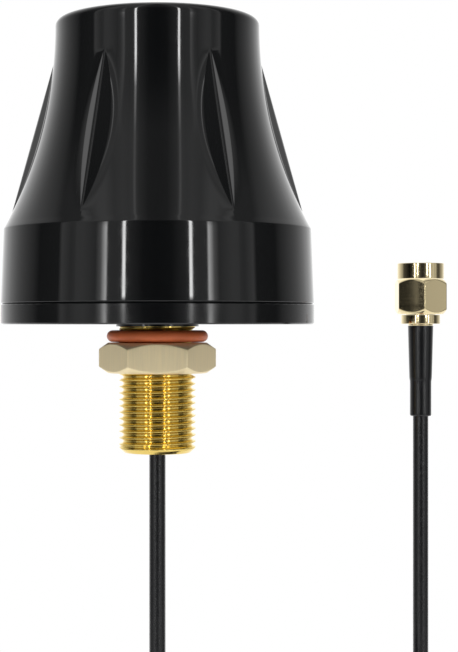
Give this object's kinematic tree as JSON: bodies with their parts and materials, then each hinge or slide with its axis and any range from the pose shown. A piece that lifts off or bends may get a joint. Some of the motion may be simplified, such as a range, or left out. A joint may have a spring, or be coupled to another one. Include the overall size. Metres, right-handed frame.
{
  "type": "gnss antenna",
  "caption": "Bell-shaped screw-mount satellite navigation antenna with a finned radome, threaded hollow stud, hex nut, sealing ring and a coaxial lead ending in an SMA plug.",
  "frame": {"origin": "centre of the base's flat mounting face, on the stud's axis", "axes": "+Z from the stud towards the radome's top, +X towards the plug strand of the hanging lead, -Y towards the viewer"},
  "size_m": [0.0748, 0.049, 0.1629],
  "materials": {
    "radome_black": "glossy black moulded plastic",
    "base_black": "glossy black moulded plastic, satin underneath",
    "seal_rubber": "black nitrile rubber",
    "orange_silicone": "orange-red silicone, faint sheen",
    "screw_steel": "zinc-plated steel",
    "stud_brass": "machined golden brass, bright turned thread",
    "nut_brass": "pale satin brass with fine brushing across the flats",
    "board_green": "green solder resist on glass laminate",
    "adhesive": "double-sided adhesive pad",
    "ceramic": "fired ceramic",
    "silver_plate": "fired silver electrode",
    "gold_plate": "polished pale gold plating",
    "tin_plate": "tin-plated steel",
    "solder": "reflowed solder",
    "chip_black": "black moulded chip body",
    "chip_tan": "ceramic chip body",
    "braid_copper": "tinned copper braid",
    "conductor_copper": "bare copper",
    "ptfe_white": "white fluoropolymer",
    "lead_jacket": "satin black jacket",
    "sleeve_black": "shrunk black sleeve, satin",
    "tie_nylon": "black nylon",
    "ferrule_nickel": "plated crimp sleeve",
    "spring_bronze": "phosphor bronze spring wire"
  },
  "bodies": {
    "antenna": {"radome": "radome_black", "base_plate": "base_black", "base_seal": "seal_rubber", "case_screws": "screw_steel", "threaded_stud": "stud_brass", "bore_grommet": "seal_rubber", "lna_board": "board_green", "board_screws": "screw_steel", "adhesive_pad": "adhesive", "ceramic_patch": "ceramic", "patch_electrode": "silver_plate", "feed_pin": "gold_plate", "shield_can": "tin_plate", "amplifier_chips": "chip_black", "saw_filter": "chip_tan", "chip_capacitors": "chip_tan", "voltage_regulator": "chip_black", "bias_inductor": "chip_tan", "lead_inside": "lead_jacket", "solder_joints": "solder", "lead_braid_ends": "braid_copper", "lead_insulation_ends": "ptfe_white", "lead_conductor_ends": "conductor_copper", "lead_antenna_side": "lead_jacket", "lead_plug_side": "lead_jacket", "lead_coil": "lead_jacket", "coil_ties": "tie_nylon", "heat_shrink": "sleeve_black", "crimp_ferrule": "ferrule_nickel", "plug_body": "gold_plate", "snap_ring": "spring_bronze", "plug_gasket": "orange_silicone", "plug_insulator": "ptfe_white", "plug_pin": "gold_plate"},
    "o_ring_body": {"o_ring": "orange_silicone"},
    "hex_nut_body": {"hex_nut": "nut_brass"},
    "coupling_nut_body": {"coupling_nut": "gold_plate"}
  },
  "joints": [
    {"name": "ring_slide", "type": "slide", "parent": "antenna", "child": "o_ring_body", "axis": [0, 0, 1], "range_m": [-0.01105, 0.00041]},
    {"name": "nut_turn", "type": "hinge", "parent": "o_ring_body", "child": "hex_nut_body", "pos_m": [0, 0, -0.00527], "axis": [0, 0, 1], "range_deg": [-3960, 129.6]},
    {"name": "coupling_nut_turn", "type": "hinge", "parent": "antenna", "child": "coupling_nut_body", "pos_m": [0.0439, 0.016, 0.0045], "axis": [0, 0, 1], "continuous": true}
  ],
  "couplings": [
    {"joint": "ring_slide", "follows": "nut_turn", "m_per_rad": 0.00015915}
  ]
}
